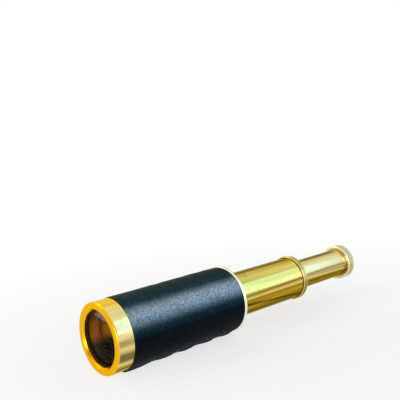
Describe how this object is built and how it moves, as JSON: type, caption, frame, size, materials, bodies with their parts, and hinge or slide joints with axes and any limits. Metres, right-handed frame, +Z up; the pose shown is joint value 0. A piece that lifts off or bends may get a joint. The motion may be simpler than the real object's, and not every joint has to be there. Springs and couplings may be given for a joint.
{
  "type": "pocket spyglass",
  "caption": "Pocket spyglass pulled out to its full length: leather-covered brass barrel, sliding and turning brass draws, objective in a bezel and a flared, knurled eyepiece cap.",
  "frame": {"origin": "on the optical axis, where the straight outside of the objective bezel begins behind its rounded front edge, so at the seat of a slip-on lens cap", "axes": "+X along the optical axis from the objective to the eye, +Z up with the spyglass lying on its side, +Y to the left of a person who looks through it"},
  "size_m": [0.1538, 0.0302, 0.0302],
  "materials": {
    "polished_brass": "polished",
    "tube_brass": "polished, drawn lengthwise",
    "blackened_brass": "matt, chemically blackened",
    "navy_leather": "satin, pebbled grain",
    "waxed_thread": "waxed",
    "felt": "matt",
    "lens_glass": "polished"
  },
  "bodies": {
    "barrel": {"objective_bezel": "polished_brass", "objective_clamp_ring": "blackened_brass", "objective_cell": "blackened_brass", "objective_crown_lens": "lens_glass", "objective_flint_lens": "lens_glass", "barrel_tube": "tube_brass", "leather_cover": "navy_leather", "leather_stitches": "waxed_thread", "barrel_collar": "polished_brass"},
    "barrel_bush": {"barrel_felt_bush": "felt"},
    "draw_1": {"draw_1_tube": "tube_brass", "draw_1_stop_ring": "polished_brass", "draw_1_glare_stop": "blackened_brass", "draw_1_guide_ring": "polished_brass"},
    "draw_1_bush": {"draw_1_felt_bush": "felt"},
    "draw_2": {"draw_2_tube": "tube_brass", "draw_2_stop_ring": "polished_brass", "erector_cell": "tube_brass", "erector_front_lens": "lens_glass", "erector_spacer": "blackened_brass", "erector_rear_lens": "lens_glass", "erector_retaining_ring": "blackened_brass", "field_lens_cell": "tube_brass", "field_lens": "lens_glass", "field_stop": "blackened_brass", "eyepiece_cap": "polished_brass", "eye_lens": "lens_glass", "eye_lens_retaining_ring": "blackened_brass"}
  },
  "joints": [
    {"name": "draw_1_turn", "type": "hinge", "parent": "barrel", "child": "barrel_bush", "pos_m": [0, 0, 0], "axis": [1, 0, 0], "continuous": true},
    {"name": "draw_1_slide", "type": "slide", "parent": "barrel_bush", "child": "draw_1", "axis": [1, 0, 0], "range_m": [-0.0429, 0]},
    {"name": "draw_2_turn", "type": "hinge", "parent": "draw_1", "child": "draw_1_bush", "pos_m": [0, 0, 0], "axis": [1, 0, 0], "continuous": true},
    {"name": "draw_2_slide", "type": "slide", "parent": "draw_1_bush", "child": "draw_2", "axis": [1, 0, 0], "range_m": [-0.0354, 0]}
  ]
}
